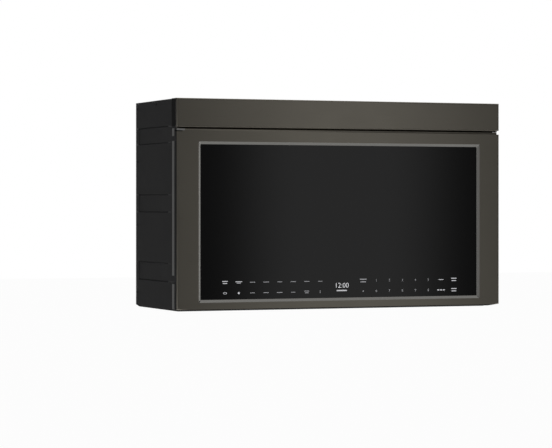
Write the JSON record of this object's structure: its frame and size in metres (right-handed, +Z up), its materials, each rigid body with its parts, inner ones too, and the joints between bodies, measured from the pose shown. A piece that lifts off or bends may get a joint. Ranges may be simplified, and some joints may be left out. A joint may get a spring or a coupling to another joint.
{
  "type": "over the range microwave",
  "caption": "Flush over the range microwave: left-hinged door with a full-width bevelled black glass window and touch strip, vent fascia above, cooktop lamps and grease filters below.",
  "frame": {"origin": "centre of the bounding box in plan, on the underside of the base", "axes": "+X to the viewer's right along the width, +Y from the door towards the wall, +Z up"},
  "size_m": [0.762, 0.3238, 0.4539],
  "materials": {
    "black_stainless": "black stainless, fine brushed, satin",
    "case_paint": "satin black powder coat",
    "zinc_sheet": "galvanised sheet",
    "oven_enamel": "grey baked enamel",
    "ceramic_plate": "opaque glass ceramic plate",
    "black_glass": "dark tinted glass, gloss",
    "clear_glass": "clear glass",
    "lens": "frosted lens",
    "black_plastic": "fine textured black",
    "grey_plastic": "smooth grey",
    "white_plastic": "smooth natural nylon",
    "aluminium": "mill finish",
    "motor_shell": "cast end shells",
    "bare_steel": "bare steel",
    "spring_steel": "drawn wire",
    "core_steel": "varnished laminated core",
    "circuit_board": "green solder mask",
    "display_black": "black display body",
    "charcoal_bed": "charcoal granules",
    "rubber_black": "black rubber"
  },
  "bodies": {
    "case": {"side_panel_left": "case_paint", "side_panel_right": "case_paint", "top_cover": "zinc_sheet", "back_panel": "zinc_sheet", "base_pan": "case_paint", "front_frame": "case_paint", "inner_floor": "zinc_sheet", "bay_wall": "zinc_sheet", "vent_deck": "zinc_sheet", "oven_cavity": "oven_enamel", "ceramic_floor": "ceramic_plate", "antenna_box": "zinc_sheet", "waveguide": "zinc_sheet", "stirrer_motor": "zinc_sheet", "magnetron": "bare_steel", "hv_transformer": "core_steel", "hv_capacitor": "aluminium", "cooling_fan_shroud": "black_plastic", "cooling_fan_motor": "core_steel", "control_board": "circuit_board", "line_filter_board": "circuit_board", "blower_scrolls": "zinc_sheet", "blower_motor": "motor_shell", "charcoal_filter": "charcoal_bed", "vent_louvre": "black_plastic", "cooktop_lamp_lenses": "lens", "cooktop_lamp_housings": "black_plastic", "vent_fascia": "black_stainless", "fascia_end_caps": "black_plastic", "hinge_arms": "bare_steel", "hinge_bushes": "grey_plastic", "interlock_bracket": "white_plastic", "interlock_switches": "black_plastic", "cavity_lamp": "white_plastic", "thermal_cutouts": "black_plastic", "cord_gland": "rubber_black"},
    "door": {"door_skin": "black_stainless", "door_glass": "black_glass", "door_back_panel": "case_paint", "door_choke": "zinc_sheet", "door_screen": "case_paint", "door_inner_pane": "clear_glass", "choke_cover": "black_plastic", "touch_board": "circuit_board", "display_module": "display_black", "hinge_leaves": "zinc_sheet", "hinge_pins": "bare_steel", "latch_guides": "black_plastic"},
    "latch": {"latch_bar": "black_plastic", "latch_spring": "spring_steel"},
    "plungers": {"switch_plungers": "white_plastic"},
    "filter_left": {"grease_filter_left": "aluminium"},
    "filter_right": {"grease_filter_right": "aluminium"},
    "blower_rotor": {"blower_shaft": "bare_steel", "blower_wheels": "grey_plastic"},
    "cooling_rotor": {"cooling_fan_shaft": "bare_steel", "cooling_fan_blade": "white_plastic"},
    "stirrer": {"stirrer_antenna": "aluminium"}
  },
  "joints": [
    {"name": "door_swing", "type": "hinge", "parent": "case", "child": "door", "pos_m": [-0.367, -0.1479, 0.2], "axis": [0, 0, -1], "range_deg": [0, 105]},
    {"name": "latch_lift", "type": "slide", "parent": "door", "child": "latch", "axis": [0, 0, 1], "range_m": [0, 0.004], "stiffness_N_per_m": 800, "springref_m": -0.004, "deforming": ["latch_spring"]},
    {"name": "plunger_overtravel", "type": "slide", "parent": "case", "child": "plungers", "axis": [0, 1, 0], "range_m": [0, 0.0008], "stiffness_N_per_m": 300, "springref_m": -0.001},
    {"name": "left_filter_slide", "type": "slide", "parent": "case", "child": "filter_left", "axis": [-1, 0, 0], "range_m": [0, 0.008]},
    {"name": "right_filter_slide", "type": "slide", "parent": "case", "child": "filter_right", "axis": [1, 0, 0], "range_m": [0, 0.008]},
    {"name": "blower_spin", "type": "hinge", "parent": "case", "child": "blower_rotor", "pos_m": [0, 0.0941, 0.3893], "axis": [1, 0, 0], "continuous": true},
    {"name": "cooling_fan_spin", "type": "hinge", "parent": "case", "child": "cooling_rotor", "pos_m": [0.2756, 0.1181, 0.162], "axis": [0, 1, 0], "continuous": true},
    {"name": "stirrer_spin", "type": "hinge", "parent": "case", "child": "stirrer", "pos_m": [-0.0552, 0.0131, 0.08], "axis": [0, 0, 1], "continuous": true}
  ]
}
